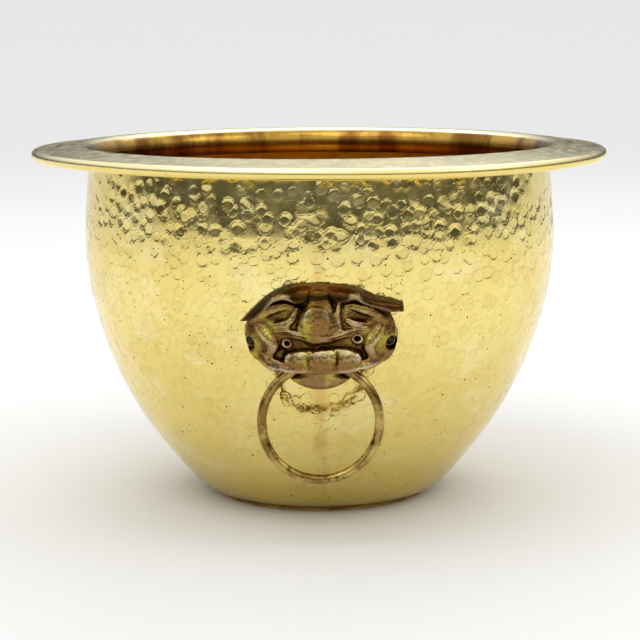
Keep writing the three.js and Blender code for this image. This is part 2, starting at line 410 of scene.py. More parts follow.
def polished_brass():
    """The flange: pale, smooth, with fine wiping marks round it and faint smears; its lowest part is a deeper
    gold, which is painted shade.
    """
    s = Shading("polished_brass")
    smear = s.ramp(s.noise(16, 4), 0.40, 0.70)
    spots = s.ramp(s.noise(140, 5, roughness=0.7), 0.63, 0.72)
    out = s.add("ShaderNodeVectorMath", operation="LENGTH")
    s.links.new(s.stretched(s.place, (1, 1, 0)), out.inputs[0])
    collar = s.ramp(out.outputs["Value"], 0.1450, 0.1468, 1, 0)
    # Painted shade: the lowest part of the flange, round its roll, is a deeper and darker gold than the pale
    # top.
    low = s.ramp(s.axis("Z"), 0.2150, 0.2180, 1, 0)
    colour = s.mix(s.math("MULTIPLY", smear, 0.4), PALE_BRASS, (0.88, 0.77, 0.40))
    colour = s.mix(s.math("MULTIPLY", low, 0.75), colour, (0.86, 0.66, 0.15))
    colour = s.mix(s.math("MULTIPLY", spots, 0.25), colour, TARNISH)
    streaks = s.ramp(s.noise(45, 4, stretch=(1, 1, 0.18)), 0.4, 0.62)
    brown = s.mix(streaks, (0.50, 0.30, 0.055), (0.20, 0.085, 0.015))
    colour = s.mix(collar, colour, brown)
    wipe = s.noise(150, 3, stretch=(1, 1, 6))
    rough = s.ramp(wipe, 0.3, 0.7, 0.14, 0.26)
    rough = s.math("ADD", rough, s.math("MULTIPLY", spots, 0.2))
    height = s.math("ADD", s.math("MULTIPLY", s.noise(24, 2), 3), s.math("MULTIPLY", wipe, 0.12))
    return s.finish(colour, rough, s.bump(height, 0.0001))


def mask_bronze():
    """Brown cast metal, darker in its hollows and yellow and grey where it stands proud, partly rubbed wear
    and partly painted highlight; the brow band also has a painted highlight along its lower edge and a
    painted reflection on top of its middle.
    """
    s = Shading("mask_bronze")
    relief, band = s.value_of("relief"), s.value_of("band")
    grain = s.noise(900, 4)
    blotch = s.ramp(s.noise(95, 4), 0.46, 0.64)
    # The relief value is rubbed wear on proud parts and painted highlight together: the bright tops and a
    # thin line along the brow band's lower edge.
    worn = s.math("ADD", relief, s.math("MULTIPLY", s.math("SUBTRACT", s.noise(170, 3), 0.5), 0.26))
    dark = s.mix(blotch, (0.115, 0.056, 0.013), (0.20, 0.135, 0.022))
    middle = s.mix(blotch, (0.25, 0.135, 0.040), (0.40, 0.310, 0.058))
    bright = s.mix(blotch, (0.60, 0.48, 0.31), (0.66, 0.56, 0.29))
    colour = s.mix(s.ramp(worn, 0.22, 0.46), dark, middle)
    colour = s.mix(s.ramp(worn, 0.52, 0.95), colour, bright)
    spots = s.ramp(s.noise(420, 3), 0.62, 0.70)
    colour = s.mix(s.math("MULTIPLY", spots, 0.45), colour, (0.05, 0.028, 0.010))
    band_colour = s.mix(s.ramp(s.noise(70, 3), 0.40, 0.66), (0.066, 0.024, 0.005), (0.030, 0.015, 0.005))
    band_colour = s.mix(s.math("MULTIPLY", blotch, 0.35), band_colour, (0.10, 0.065, 0.012))
    # Painted reflection: the top of the band's middle is a lighter red-brown.
    painted_forehead_sheen = s.math("MULTIPLY", s.ramp(s.math("ABSOLUTE", s.axis("X")), 0.008, 0.020, 1, 0),
                      s.ramp(s.axis("Z"), 0.1455, 0.1495))
    band_colour = s.mix(s.math("MULTIPLY", painted_forehead_sheen, 0.7), band_colour, (0.20, 0.080, 0.012))
    # Painted highlight: the band turns pale where the relief value is highest, along its lower edge.
    band_colour = s.mix(s.ramp(worn, 0.70, 0.98), band_colour, (0.40, 0.30, 0.16))
    colour = s.mix(band, colour, band_colour)
    rough = s.ramp(grain, 0.3, 0.7, 0.16, 0.26)
    rough = s.math("ADD", rough, s.ramp(worn, 0.25, 0.6, 0.08, 0))
    rough = s.math("ADD", rough, s.ramp(worn, 0.70, 0.90, 0, 0.22))
    rough = s.math("SUBTRACT", rough, s.math("MULTIPLY", band, 0.04))
    sand = s.math("MULTIPLY", s.math("SUBTRACT", 1.0, s.math("MULTIPLY", band, 0.9)), grain)
    height = s.math("ADD", sand, s.math("MULTIPLY", s.noise(130, 2), 1.2))
    return s.finish(colour, rough, s.bump(height, 0.00010))


def ring_brass():
    """Bent rod, olive brown in its hollows and yellow where it is worn."""
    s = Shading("ring_brass")
    worn = s.ramp(s.noise(75, 4), 0.40, 0.60)
    dark = s.ramp(s.noise(210, 4), 0.55, 0.70)
    colour = s.mix(worn, (0.24, 0.14, 0.034), (0.54, 0.39, 0.115))
    colour = s.mix(s.math("MULTIPLY", dark, 0.75), colour, (0.07, 0.038, 0.010))
    rough = s.ramp(s.noise(320, 3), 0.3, 0.7, 0.16, 0.34)
    height = s.math("ADD", s.noise(500, 3), s.math("MULTIPLY", s.noise(120, 2), 2))
    return s.finish(colour, rough, s.bump(height, 0.00012))


def rivet_iron():
    s = Shading("rivet_iron")
    rust = s.ramp(s.noise(600, 4), 0.45, 0.65)
    colour = s.mix(rust, (0.030, 0.027, 0.022), (0.075, 0.055, 0.030))
    rough = s.ramp(s.noise(900, 3), 0.3, 0.7, 0.28, 0.5)
    return s.finish(colour, rough, s.bump(s.noise(1400, 3), 0.00015))


def plain_brass(name, bright, dull, roughness):
    """Unpolished brass sheet: dull clouds over a brighter ground."""
    s = Shading(name)
    clouds = s.ramp(s.noise(55, 5), 0.38, 0.66)
    spots = s.ramp(s.noise(260, 4), 0.58, 0.70)
    colour = s.mix(clouds, bright, dull)
    colour = s.mix(s.math("MULTIPLY", spots, 0.6), colour, PIT)
    rough = s.ramp(s.noise(180, 3), 0.3, 0.7, roughness - 0.08, roughness + 0.10)
    return s.finish(colour, rough, s.bump(s.noise(420, 3), 0.00015))


# ---------------------------------------------------------------- the wall

def outer_profile():
    """The wall's outer face from foot to neck, as the frame's own rings give it."""
    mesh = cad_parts["pot_wall"].data
    co = np.empty(len(mesh.vertices) * 3)
    mesh.vertices.foreach_get("co", co)
    co = co.reshape(-1, 3) / MM
    # The masks and their rivets stand on ±Y, so only the sides are read.
    co = co[np.abs(co[:, 0]) > np.abs(co[:, 1])]
    rings, counts = np.unique(np.round(np.column_stack([np.hypot(co[:, 0], co[:, 1]), co[:, 2]]), 1),
                              axis=0, return_counts=True)
    rings = rings[counts >= 20]
    outer = [r for r in rings
             if not any(0.6 < np.hypot(*(q - r)) < 1.8 and q[0] > r[0] for q in rings)]
    outer = np.array(sorted(outer, key=lambda r: (r[1], r[0])))
    outer = outer[outer[:, 0] > 60]
    apart = np.linalg.norm(np.diff(outer, axis=0), axis=1) > 1
    return outer[np.concatenate([[True], apart])]


def radius_at(z, profile):
    return np.interp(z, profile[:, 1], profile[:, 0])


def hammer_marks(rows_at, radii, columns):
    """Stamps the marks one after another on the wall's grid. Returns how far each point is pushed
    in, its distance to the nearest visible edge of a mark, how strong that edge is (which also sets
    the painted shade along the rim), and a tone that is the same all over one mark."""
    random = np.random.RandomState(SEED)
    rows = len(rows_at)
    push = np.zeros((rows, columns))
    rim = np.full((rows, columns), 9.0)
    strength = np.zeros((rows, columns))
    tone = np.full((rows, columns), 0.5)
    length = rows_at[-1]
    marks = []
    for at in np.arange(7, length - 4, MARK_ROW):
        around = 2 * math.pi * np.interp(at, rows_at, radii)
        number = int(around / MARK_ALONG)
        start = random.uniform(0, 1)
        for i in range(number):
            marks.append((at + random.normal(0, 1.9), (start + i + random.normal(0, 0.27)) / number))
    extra = random.uniform(size=(len(marks) // 5, 2))
    marks += [(at * (length - 14) + 8, turn) for at, turn in extra]
    order = random.permutation(len(marks))
    for at, turn in (marks[i] for i in order):
        share = at / length
        keep = random.uniform()
        size = random.uniform(0.82, 1.14) * MARK_RADIUS
        depth = random.uniform(0.10, 0.26)
        shape = random.uniform(-0.07, 0.05)
        lean = random.normal(0, 0.027, 2)
        below = np.interp(share, (0.0, 0.10, 0.46, 0.60, 0.86, 0.93, 1.0), (0.1, 0.6, 0.75, 1, 1, 0.5, 0.15))
        if keep > 0.35 + 0.6 * below:
            continue
        depth *= below
        low = np.searchsorted(rows_at, at - size - 2.5)
        high = np.searchsorted(rows_at, at + size + 2.5)
        if high - low < 3:
            continue
        radius = radii[(low + high) // 2]
        pitch = 2 * math.pi * radius / columns
        reach = int((size + 2.5) / pitch) + 1
        middle = turn * columns
        column = np.arange(int(middle) - reach, int(middle) + reach + 1)
        across = (column - middle) * pitch
        along = rows_at[low:high] - at
        distance = np.hypot(along[:, None], across[None, :] * random.uniform(0.93, 1.07))
        column %= columns
        patch = np.ix_(np.arange(low, high), column)
        within = np.clip((size - distance) / 1.1 + 0.4, 0, 1)
        within = within * within * (3 - 2 * within)
        level = 0.6 * push[patch][distance < size].mean()
        bowl = depth + shape * (1 - (distance / size) ** 2)
        tilt = lean[0] * along[:, None] + lean[1] * across[None, :]
        push[patch] = push[patch] * (1 - within) + within * (level + bowl + tilt)
        fresh = distance - size
        old = rim[patch]
        inside = fresh < 0
        nearer = inside | (fresh < old)
        rim[patch] = np.where(inside, -fresh, np.minimum(old, np.abs(fresh)))
        strength[patch] = np.where(nearer, below * (0.4 + 3 * depth), strength[patch])
        tone[patch] += (random.uniform() - tone[patch]) * within * below
    return push, rim, strength, tone


def pot_wall(materials):
    """The hammered sheet, closed by its foot and its neck, with the marks pushed into it."""
    shown = spline_through(outer_profile(), WALL_ROW)
    rows_at = np.concatenate([[0], np.cumsum(np.linalg.norm(np.diff(shown, axis=0), axis=1))])
    normals = side_normals(shown)
    columns = AROUND_STEPS
    push, rim, strength, tone = hammer_marks(rows_at, shown[:, 0], columns)
    angles = np.arange(columns) * 2 * math.pi / columns
    # The seam at the front is a low weld line with the sheet slightly hollow beside it.
    beside = shown[:, 0:1] * (np.abs((angles + math.pi) % (2 * math.pi) - math.pi))[None, :]
    fade = np.clip(rows_at / 30, 0, 1)[:, None] * np.clip((rows_at[-1] - rows_at) / 12, 0, 1)[:, None]
    signed = shown[:, 0:1] * ((angles + math.pi) % (2 * math.pi) - math.pi)[None, :]
    weld = 0.08 * np.exp(-(beside / 3.0) ** 2) - 0.08 * np.exp(-((beside - 6.5) / 2.6) ** 2)
    for crease_x in (-3.6, 1.1):
        course = crease_x + 0.25 * np.sin(rows_at / 5.0 + crease_x)[:, None]
        weld = weld - 0.07 * np.exp(-((signed - course) / 0.45) ** 2)
    random = np.random.RandomState(SEED + 1)
    # The sheet isn't quite round: a few long waves round it and up it.
    waves = np.zeros_like(push)
    for number in range(2, 15):
        phase = random.uniform(0, 2 * math.pi, 2)
        lift = random.uniform(0.6, 1.4) * rows_at[:, None] / 40
        waves += random.normal(0, 0.30 / number) * np.sin(number * angles[None, :] + phase[0] + lift)
    waves *= np.clip(rows_at / 25, 0, 1)[:, None] * np.clip((rows_at[-1] - rows_at) / 30, 0, 1)[:, None]
    inward = push - weld * fade - waves
    out = shown[:, 0:1] - inward * normals[:, 0:1]
    z = shown[:, 1:2] - inward * normals[:, 1:2]
    outer = np.stack([out * np.sin(angles), -out * np.cos(angles), z], axis=2).reshape(-1, 3)
    points = [outer]
    faces = grid_quads(len(shown), columns)
    outside_count = len(faces)
    # The inside: half the columns and every other row, with the dents showing through softened.
    inner_columns = columns // 2
    rows = list(range(0, len(shown), 2))
    soft = (push[:, ::2] + np.roll(push, 1, 1)[:, ::2] + np.roll(push, -1, 1)[:, ::2]) / 3
    soft = np.array([soft[max(0, r - 1):r + 2].mean(0) for r in rows])
    inner_angles = angles[::2]
    inset = SHEET + 0.7 * soft - waves[rows][:, ::2]
    inner_out = shown[rows, 0:1] - inset * normals[rows, 0:1]
    inner_z = shown[rows, 1:2] - inset * normals[rows, 1:2]
    inner = np.stack([inner_out * np.sin(inner_angles), -inner_out * np.cos(inner_angles), inner_z], 2)
    base = len(outer)
    points.append(inner.reshape(-1, 3))
    for quad in grid_quads(len(rows), inner_columns):
        faces.append([base + i for i in reversed(quad)])
    # The foot turns in over the base disc.
    foot = foot_opening()
    foot_low = np.column_stack([foot * np.sin(inner_angles), -foot * np.cos(inner_angles),
                                np.full(inner_columns, shown[0, 1])])
    foot_high = foot_low + [0, 0, SHEET]
    low_at, high_at = base + len(rows) * inner_columns, base + (len(rows) + 1) * inner_columns
    points += [foot_low, foot_high]
    top_outer, top_inner = (len(shown) - 1) * columns, base + (len(rows) - 1) * inner_columns
    for i in range(inner_columns):
        j = (i + 1) % inner_columns
        a, b, c = 2 * i, 2 * i + 1, (2 * i + 2) % columns
        faces.append([low_at + i, low_at + j, c, b, a])
        faces.append([high_at + i, high_at + j, low_at + j, low_at + i])
        faces.append([base + i, base + j, high_at + j, high_at + i])
        faces.append([top_outer + a, top_outer + b, top_outer + c, top_inner + j, top_inner + i])
    finish = np.ones(len(faces), np.int32)
    finish[:outside_count] = 0
    piece = make_piece("hammered_wall", np.vstack(points), faces, "pot",
                       materials, finish)
    rest = len(piece.data.vertices) - len(outer)
    add_values(piece, "rim", np.concatenate([rim.ravel(), np.full(rest, 9.0)]))
    add_values(piece, "mark", np.concatenate([np.clip(strength, 0, 1).ravel(), np.zeros(rest)]))
    add_values(piece, "tone", np.concatenate([tone.ravel(), np.full(rest, 0.5)]))
    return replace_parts(piece, "pot_wall")


def foot_opening():
    """The radius of the opening inside the turned-in foot."""
    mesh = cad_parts["pot_wall"].data
    return min(math.hypot(v.co.x, v.co.y) for v in mesh.vertices) / MM


def rim_flange(material):
    """The smooth flange: up the collar, over the crest, down the slope and round its roll."""
    crest_z = TOP_Z - MOUTH_BEND
    roll_out, roll_z = FLANGE_RADIUS - ROLL_RADIUS, TOP_Z - ROLL_DROP
    run, rise = roll_out - CREST_RADIUS, roll_z - crest_z
    slope = math.atan2(rise, run) - math.asin((MOUTH_BEND - ROLL_RADIUS) / math.hypot(run, rise))
    normal = math.pi / 2 + slope
    bend = arc(CREST_RADIUS, crest_z, MOUTH_BEND, math.pi, normal, 26)
    roll = arc(roll_out, roll_z, ROLL_RADIUS, normal, normal - ROLL_TURN, 30)
    collar = [(CREST_RADIUS - MOUTH_BEND, TOP_Z - COLLAR_DEPTH)]
    flat = np.linspace(bend[-1], roll[0], 18)[1:-1]
    face = np.vstack([collar, bend, flat, roll])
    # The closed outline is the face and, a sheet behind it, the back.
    gap = np.linalg.norm(np.gradient(face, axis=0), axis=1)
    normals = side_normals(face) * np.where(gap > 0, 1, 0)[:, None]
    back = face + SHEET * normals
    outline = np.vstack([face, back[::-1]])
    points, faces = turned(outline, 360)
    angle = np.arctan2(points[:, 1], points[:, 0])
    distance = np.hypot(points[:, 0], points[:, 1])
    # Hand work: the flange waves a little towards its edge and stands lower on the right.
    reach = np.clip((distance - CREST_RADIUS) / (FLANGE_RADIUS - CREST_RADIUS), 0, 1) ** 1.5
    wave = 0.35 * np.sin(2 * angle + 0.7) + 0.22 * np.sin(3 * angle + 2.1) + 0.12 * np.sin(7 * angle)
    points[:, 2] += reach * (wave - 0.5 * points[:, 0] / FLANGE_RADIUS)
    piece = make_piece("rolled_flange", points, faces, "pot", [material])
    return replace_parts(piece, "rim_flange")


# ---------------------------------------------------------------- the lion mask

def soft_max(a, b, blend):
    overlap = np.maximum(blend - np.abs(a - b), 0) / blend
    return np.maximum(a, b) + overlap * overlap * blend / 4


def mound(x, z, middle, size, height, fall=6.0, power=2):
    """A rounded cap: height in its middle, lower by fall at its edge, and steep outside."""
    away = np.abs((x - middle[0]) / size[0]) ** power + np.abs((z - middle[1]) / size[1]) ** power
    return height - fall * (1 - np.sqrt(1 - np.minimum(away, 1))) - 9 * np.maximum(away - 1, 0)


def ridge(x, z, course, drop=1.0):
    """A rounded ridge along a course of (x, z, height, half width)."""
    best = np.full(x.shape, -99.0)
    course = spline_through(course, 1.6)
    for a, b in zip(course, course[1:]):
        along = b[:2] - a[:2]
        t = np.clip(((x - a[0]) * along[0] + (z - a[1]) * along[1]) / (along @ along), 0, 1)
        away = np.hypot(x - a[0] - t * along[0], z - a[1] - t * along[1])
        height, width = a[2] + t * (b[2] - a[2]), a[3] + t * (b[3] - a[3])
        round_top = 1 - np.sqrt(1 - np.minimum(away / width, 1) ** 2)
        best = np.maximum(best, height - drop * width * round_top - 4 * np.maximum(away - width, 0))
    return best


def face_relief(x, z):
    """How far the mask's face stands out of an upright cylinder, where its brow band lies, and a painted
    highlight line along the band's lower edge.
    """
    # A casting isn't symmetrical: the whole face is a little out of true.
    x = x + 0.5 * np.sin(z / 7.0 + 0.6) + 0.3 * np.sin(x / 4.1 + z / 5.3)
    z = z + 0.4 * np.sin(x / 6.2 + 1.9) + 0.3 * np.sin(z / 3.7 - x / 5.1)
    middle_z = 123.0
    half_high = np.where(z > middle_z, 28.0, 24.5)
    away = (np.abs(x - 0.6) / 42.5) ** 2.2 + (np.abs(z - middle_z) / half_high) ** 2.2
    plate = 5.0 + 10.0 * np.clip(1 - away, 0, 1) ** 0.60
    relief = np.where(away < 1, plate, -40 * (away - 1))

    # The recess below the upper lip, and the hollows beside the tongue, at the eyes and the brow.
    relief = relief - 0.9 * np.exp(-((np.abs(x) / 24) ** 4 + ((z - 119.3) / 3.4) ** 4))
    for side in (-1, 1):
        relief = relief - 3.0 * np.exp(-(((x - side * 22.0) / 4.6) ** 2 + ((z - 113.6) / 3.8) ** 2))
        relief = relief - 3.0 * np.exp(-(((x - side * 23.5) / 5.2) ** 2 + ((z - 133.4) / 3.0) ** 2))
        relief = relief - 3.0 * np.exp(-(((x - side * 12.4) / 4.0) ** 2 + ((z - 140.6) / 2.2) ** 2))

    parts = []
    # Nose: a bridge that spreads down into a broad muzzle, and a wing at each side.
    parts.append(ridge(x, z, [(0.4, 144.0, 14.4, 4.6), (0, 139.5, 18.2, 7.2), (-0.8, 134.0, 20.4, 9.8),
                              (-1.0, 129.8, 21.0, 12.0)], 0.55))
    # The middle of the muzzle stands a little proud of the bridge.
    parts.append(mound(x, z, (-1.6, 134.4), (7.6, 7.4), 21.2, 2.0))
    parts.append(ridge(x, z, [(-12.8, 138.6, 14.6, 1.6), (-14.8, 133.6, 16.0, 2.0),
                              (-18.4, 128.8, 15.6, 2.0)], 0.9))
    parts.append(ridge(x, z, [(10.6, 141.0, 14.0, 1.3), (10.2, 134.6, 17.2, 1.7),
                              (11.0, 128.0, 18.6, 1.9)], 0.9))
    for side in (-1, 1):
        parts.append(ridge(x, z, [(side * 15.6, 132.4, 15.6, 2.0), (side * 19.5, 129.9, 15.4, 2.6),
                                  (side * 25.0, 129.0, 12.8, 1.8)], 1.0))
        # Eyelid under the ear, with a narrow lower edge.
        parts.append(ridge(x, z, [(side * 14.6, 139.4, 13.0, 1.6), (side * 20, 139.6, 14.0, 2.4),
                                  (side * 28, 137.2, 13.4, 3.0), (side * 36.0, 131.6, 10.0, 2.6)], 0.8))
        # Cheek ridge down to the mouth's corner, then along under the hollow.
        parts.append(ridge(x, z, [(side * 34.0, 128.4, 11.2, 2.4), (side * 30.2, 123.4, 14.0, 3.4),
                                  (side * 26.6, 118.2, 15.0, 3.2), (side * 28.2, 112.6, 13.4, 2.6)], 0.9))
        # The outer cheek, a low swelling round the rivet.
        parts.append(mound(x, z, (side * 36.0, 119.0), (7.0, 10.5), 9.4, 3))
        # Under the hollow, two small folds run to the lower lip.
        parts.append(ridge(x, z, [(side * 32.0, 113.6, 10.8, 1.6), (side * 27.5, 109.4, 13.8, 2.0),
                                  (side * 21.0, 107.4, 16.4, 1.8)], 0.9))
    # Upper lip: two lines close together.
    parts.append(ridge(x, z, [(-25.8, 125.8, 13.6, 0.9), (-18.6, 127.0, 16.4, 1.2), (-11.6, 125.6, 18.8, 1.5),
                              (0.8, 125.0, 20.4, 1.7), (10.5, 125.6, 18.8, 1.5), (17.5, 126.8, 16.4, 1.2),
                              (25.8, 127.3, 13.6, 0.9)], 1.0))
    parts.append(ridge(x, z, [(-23, 123.9, 12.6, 0.9), (-12, 123.0, 16.2, 1.1), (0.6, 122.6, 17.6, 1.2),
                              (12, 123.2, 16.2, 1.1), (23.5, 125.0, 12.6, 0.9)], 1.0))
    # Tongue and the teeth at its sides.
    parts.append(mound(x, z, (1.6, 110.4), (18.5, 6.8), 19.4, 2, 3))
    parts.append(mound(x, z, (1.2, 111.6), (7.8, 6.2), 21.8, 3.5, 2.4))
    parts.append(mound(x, z, (-9.8, 111.3), (5.0, 5.4), 20.4, 3, 2.2))
    parts.append(mound(x, z, (12.9, 110.7), (5.0, 5.0), 20.0, 3, 2.2))
    for tooth_x, tooth_z in ((-17.4, 110.4), (20.0, 110.6)):
        parts.append(mound(x, z, (tooth_x, tooth_z), (3.2, 4.2), 17.6, 3))
    # Lower lip and the rim that runs up both cheeks.
    parts.append(ridge(x, z, [(-40.0, 125, 7.6, 1.6), (-38.2, 115.5, 8.2, 1.8), (-32.0, 108.6, 10.4, 1.9),
                              (-25.0, 105.8, 15.4, 2.2), (-14, 105.2, 18.4, 2.2), (0.2, 105.0, 19.4, 2.2),
                              (15, 105.2, 18.4, 2.2), (26.2, 106.4, 15.4, 2.2), (33.2, 109.8, 10.4, 1.9),
                              (39.4, 116.2, 8.2, 1.8), (40.8, 125, 7.6, 1.6)], 0.8))
    for part in parts:
        relief = soft_max(relief, np.where(away < 1.05, part, -40), 1.2)
    # Ring-shaped knobs in the mouth, with a hole in each, and the dark slot between them.
    for cx, cz in ((-19.0, 119.4), (20.4, 121.8)):
        from_knob = np.hypot(x - cx, (z - cz) * 1.15)
        relief = soft_max(relief, 15.6 - 1.1 * (from_knob - 2.3) ** 2, 0.4)
        relief = relief - 2.4 * np.exp(-(from_knob / 1.2) ** 2)
    for hole_x, hole_z, wide, high, deep in ((0.9, 119.7, 4.2, 1.1, 3.4), (-6.8, 120.3, 1.2, 1.0, 2.6)):
        relief = relief - deep * np.exp(-(((x - hole_x) / wide) ** 2 + ((z - hole_z) / high) ** 2))

    # The brow band: a smooth peak over the face from ear to ear. Its top and lower edges and its
    # height at both are curves over x. The left ear droops, and the right one stands out.
    table = spline_through([(-44.2, 130.9, 130.1, 5.6, 6.4), (-38.0, 138.2, 131.8, 7.4, 10.2),
                            (-32.6, 143.0, 135.9, 8.2, 13.0), (-25.4, 147.8, 141.9, 8.8, 15.4),
                            (-20.0, 150.2, 143.6, 8.6, 15.2), (-13.0, 151.8, 141.4, 7.8, 13.8),
                            (-7.6, 152.4, 143.0, 7.0, 13.2), (-4.4, 152.6, 147.0, 6.8, 11.2),
                            (0.0, 152.7, 148.6, 6.8, 10.4), (4.2, 152.5, 147.0, 6.8, 11.2),
                            (7.6, 152.2, 142.6, 7.0, 13.2), (13.0, 151.2, 141.4, 7.8, 13.8),
                            (19.0, 149.7, 143.6, 8.6, 15.2), (24.0, 148.2, 142.0, 8.8, 15.4),
                            (31.5, 145.4, 139.1, 8.6, 13.2), (39.4, 142.6, 136.0, 8.4, 11.4),
                            (47.2, 140.2, 135.4, 7.4, 9.6)], 1.0)
    top, low, high_top, high_low = (np.interp(x, table[:, 0], table[:, i]) for i in (1, 2, 3, 4))
    inside = np.minimum(np.minimum(z - low, top - z), np.minimum(x + 44.4, 47.4 - x))
    share = np.clip((top - z) / (top - low), 0, 1)
    slope = high_top + (high_low - high_top) * share ** 0.8
    slope = slope + 1.6 * np.sin(math.pi * share)
    for bulb_x, bulb_z in ((-20.4, 145.0), (20.6, 146.0)):
        slope = slope + 1.6 * np.exp(-(((x - bulb_x) / 4.6) ** 2 + ((z - bulb_z) / 3.8) ** 2))
    edge = np.clip(1 - inside / 1.8, 0, 1)
    band = slope - 1.8 * (1 - np.sqrt(1 - np.minimum(edge, 1) ** 2)) - 8 * np.maximum(-inside, 0)
    on_band = band > relief
    # A painted highlight: a thin bright line along the band's lower edge.
    lit = 0.9 * np.exp(-((z - low - 0.4) / 0.45) ** 2) * on_band
    relief = soft_max(relief, band, 0.3)
    # Forehead knob. The painted highlight value is lowered over it, which makes the knob darker.
    knob = mound(x, z, (-0.3, 145.8), (6.2, 5.6), 16.8, 4.5)
    lit = lit - 0.9 * np.exp(-(((x + 0.3) / 8) ** 4 + ((z - 146.5) / 7) ** 4))
    on_band |= knob > relief
    relief = soft_max(relief, knob, 0.6)
    # A step across each ear's root, and the notched tip of the right ear.
    for fold_x, fold_z in ((-26.0, 145.4), (22.2, 146.0)):
        relief = relief + 1.2 * np.exp(-((x - fold_x) / 0.7) ** 2 - ((z - fold_z) / 2.2) ** 4)
    for notch_x, notch_z in ((46.6, 138.6), (44.4, 136.0)):
        relief = relief - 2.4 * np.exp(-(((x - notch_x) / 0.8) ** 2 + ((z - notch_z) / 0.8) ** 2))
    for groove_x, deep in ((-6.9, 1.2), (8.8, 1.0)):
        relief = relief - deep * np.exp(-((x - groove_x) / 0.5) ** 2 - ((z - 111.8) / 5.0) ** 4)
    # The grain of the sand it was cast in.
    grain = np.random.RandomState(SEED + 3).normal(size=relief.shape)
    relief = relief + 0.22 * blurred(grain, 1) * np.where(on_band, 0.2, 1.0)
    return relief, on_band.astype(float), lit


def mask_field(step, profile):
    """The mask as a field on a grid, negative inside the metal."""
    low, high = np.array([-47.5, 124.0, 86.0]), np.array([50.0, 167.5, 154.5])
    x, out, z = (np.arange(a, b, step) for a, b in zip(low, high))
    flat_x, flat_z = np.meshgrid(x, z, indexing="ij")
    relief, band, lit = face_relief(flat_x, flat_z)
    front = np.sqrt(MASK_GROUND**2 - flat_x**2) + relief
    slope = np.hypot(*np.gradient(front, step))
    field = (out[None, :, None] - front[:, None, :]) / np.sqrt(1 + np.minimum(slope, 4) ** 2)[:, None, :]
    X, O, Z = x[:, None, None], out[None, :, None], z[None, None, :]

    # The underside is cut off towards the wall, and the casting is hollow behind.
    tilt = 0.255
    below = ((104 - tilt * (161 - O)) - Z) / math.hypot(1, tilt)
    field = np.maximum(field, below)
    hollow = np.sqrt((X / 31) ** 2 + ((O - 134) / 15) ** 2 + ((Z - 118) / 20) ** 2)
    field = np.maximum(field, (1 - hollow) * 15)
    # The space that the ring sweeps between its limits.
    drop, out_from = PIVOT_Z - Z, O - PIVOT_OUT
    turn = np.clip(np.arctan2(out_from, drop), SWING_IN, SWING_OUT)
    along = out_from * np.sin(turn) + drop * np.cos(turn)
    off = out_from * np.cos(turn) - drop * np.sin(turn)
    swept = np.hypot(np.hypot(X, along - RING_RADIUS) - RING_RADIUS, off)
    field = np.maximum(field, WIRE_RADIUS + 2 * GAP - swept)
    # The bar that the ring hangs on: a root in the mask, a web behind the ring and the chin.
    def block(half_x, out_low, out_high, z_low, z_high):
        return np.maximum.reduce(np.broadcast_arrays(
            np.abs(X) - half_x, out_low - O, O - out_high, z_low - Z, Z - z_high))
    ring_z = PIVOT_Z - RING_RADIUS
    saddle = RING_RADIUS - WIRE_RADIUS - GAP
    lens = np.maximum(np.hypot(X, Z - ring_z) - saddle,
                      np.hypot(X, Z - CHIN_Z - CHIN_RADIUS) - CHIN_RADIUS)
    rounded = np.clip((O - CHIN_OUT + 4) / 4, 0, 1) ** 2 * 2.2
    chin = np.maximum(lens + rounded, np.maximum(O - CHIN_OUT, 128 - O))
    for solid in (block(WEB_WIDTH / 2, 132, 152, 112, 147), block(WEB_WIDTH / 2, 128, 143, 96, 116), chin):
        field = np.minimum(field, solid)
    # The rivets' pockets and holes.
    for side in (-1, 1):
        place = rivet_place(side).inverted()
        local = [place[i][0] * X + place[i][1] * -O + place[i][2] * Z + place[i][3] for i in range(3)]
        reach = np.hypot(local[0], local[1])
        field = np.maximum(field, -np.maximum(reach - RIVET_POCKET, CHEEK_LAND + GAP - local[2]))
        field = np.maximum(field, RIVET_SHANK + GAP - reach)
    wall_gap = np.hypot(X, O) - radius_at(z, profile)[None, None, :]
    field = np.maximum(field, GAP - wall_gap)
    edge = np.ones(field.shape, bool)
    edge[1:-1, 1:-1, 1:-1] = False
    return np.where(edge, np.maximum(field, step), field), low, (x, z, relief, band, lit)


def rivet_place(side):
    """Where the frame's front rivet stands: local Z points out of the wall."""
    hand = HANDS[side > 0]
    low, high = (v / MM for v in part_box(f"rivet_front_{hand}"))
    middle = (low + high) / 2
    turn = math.atan2(middle.x, -middle.y)
    profile = outer_profile()
    slope = np.interp([RIVET_Z - 2, RIVET_Z + 2], profile[:, 1], profile[:, 0])
    tilt = math.atan2(slope[1] - slope[0], 4)
    return (Matrix.Rotation(turn, 4, "Z")
            @ Matrix.Translation((0, -radius_at(RIVET_Z, profile), RIVET_Z))
            @ Matrix.Rotation(math.pi / 2 + tilt, 4, "X"))


def sampled(values, x, z, at_x, at_z):
    """Reads a table over x and z at given places, between its own points."""
    i = np.clip((at_x - x[0]) / (x[1] - x[0]), 0, len(x) - 1.001)
    k = np.clip((at_z - z[0]) / (z[1] - z[0]), 0, len(z) - 1.001)
    i0, k0 = i.astype(int), k.astype(int)
    share_i, share_k = i - i0, k - k0
    low = values[i0, k0] * (1 - share_i) + values[i0 + 1, k0] * share_i
    high = values[i0, k0 + 1] * (1 - share_i) + values[i0 + 1, k0 + 1] * share_i
    return low * (1 - share_k) + high * share_k


def blurred(values, cells):
    """A box blur of a table, cells wide each way."""
    for axis in (0, 1):
        padded = np.concatenate([np.take(values, [0] * cells, axis), values,
                                 np.take(values, [-1] * cells, axis)], axis)
        total = np.cumsum(padded, axis)
        first = np.take(total, range(2 * cells, total.shape[axis]), axis)
        last = np.take(total, range(0, total.shape[axis] - 2 * cells), axis)
        values = (first - last) / (2 * cells)
    return values


